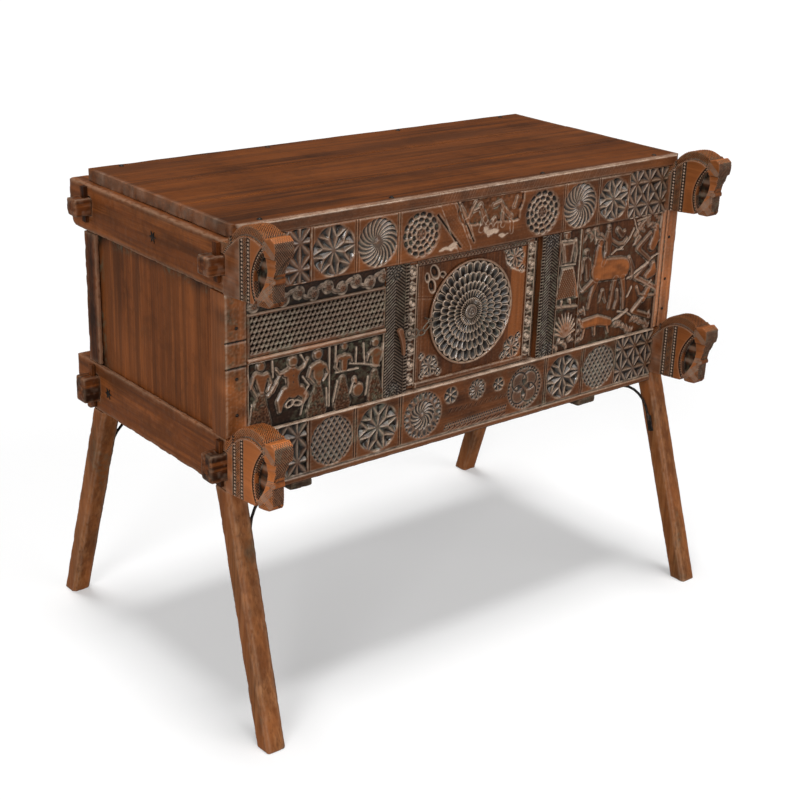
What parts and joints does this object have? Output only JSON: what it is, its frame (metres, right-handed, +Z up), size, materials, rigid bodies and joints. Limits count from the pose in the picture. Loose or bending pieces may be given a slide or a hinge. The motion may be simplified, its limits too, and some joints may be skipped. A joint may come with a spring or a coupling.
{
  "type": "wooden trunk",
  "caption": "Carved wooden dowry trunk on splayed legs, with a plank lid, tusk-tenoned rails ending in horse heads, and a small front door with a chain latch.",
  "frame": {"origin": "on the floor, at the centre of the trunk's footprint", "axes": "+X to the right along the carved front, +Y from the front to the back, +Z up"},
  "size_m": [1.186, 0.776, 0.9489],
  "materials": {
    "carved_wood": "waxed, worn, dark in the recesses",
    "lid_wood": "satin, dark and worn",
    "plain_wood": "dry, unpolished",
    "rubbed_wood": "rubbed to a low sheen",
    "iron": "black forged iron, dull"
  },
  "bodies": {
    "carcass": {"back_board_1": "plain_wood", "back_board_2": "plain_wood", "back_board_3": "plain_wood", "back_rail_bottom": "carved_wood", "back_rail_top": "carved_wood", "brace_back_left": "iron", "brace_back_right": "iron", "brace_front_left": "iron", "brace_front_right": "iron", "end_panel_left": "carved_wood", "end_panel_right": "carved_wood", "figure_board": "carved_wood", "floor_bearer_left": "plain_wood", "floor_bearer_right": "plain_wood", "floor_board_1": "plain_wood", "floor_board_2": "plain_wood", "floor_board_3": "plain_wood", "floor_board_4": "plain_wood", "front_rail_bottom": "carved_wood", "front_rail_top": "carved_wood", "lattice_board": "carved_wood", "leg_back_left": "carved_wood", "leg_back_right": "carved_wood", "leg_front_left": "carved_wood", "leg_front_right": "carved_wood", "lid_batten_left": "plain_wood", "lid_batten_right": "plain_wood", "lid_nails": "iron", "lid_plank_1": "lid_wood", "lid_plank_2": "lid_wood", "lid_plank_3": "lid_wood", "niche_board": "carved_wood", "panel_divider": "carved_wood", "post_back_left": "carved_wood", "post_back_right": "carved_wood", "post_front_left": "carved_wood", "post_front_right": "carved_wood", "post_nails": "iron", "rider_board": "carved_wood", "side_rail_lower_left": "carved_wood", "side_rail_lower_right": "carved_wood", "side_rail_nails": "iron", "side_rail_upper_left": "carved_wood", "side_rail_upper_right": "carved_wood", "stile_left": "carved_wood", "stile_pull": "rubbed_wood", "stile_right": "carved_wood", "stile_staple": "iron", "tenon_wedges": "rubbed_wood"},
    "door": {"door_board": "carved_wood", "door_hinge_stile": "carved_wood", "door_strip_left": "carved_wood", "door_strip_right": "carved_wood", "door_top_band": "carved_wood", "door_ledge": "carved_wood", "door_rosette": "rubbed_wood", "door_staple": "iron"},
    "chain_link": {"chain_link": "iron"},
    "hasp": {"hasp": "iron"}
  },
  "joints": [
    {"name": "door_pivot", "type": "hinge", "parent": "carcass", "child": "door", "pos_m": [0.151, -0.23, 0.6825], "axis": [0, 0, 1], "range_deg": [0, 95]},
    {"name": "link_swing", "type": "hinge", "parent": "door", "child": "chain_link", "pos_m": [-0.12067, -0.256, 0.69037], "axis": [-0.6428, 0, 0.766], "range_deg": [0, 70]},
    {"name": "hasp_swing", "type": "hinge", "parent": "chain_link", "child": "hasp", "pos_m": [-0.13752, -0.256, 0.67623], "axis": [-0.6428, 0, 0.766], "range_deg": [0, 70]}
  ]
}
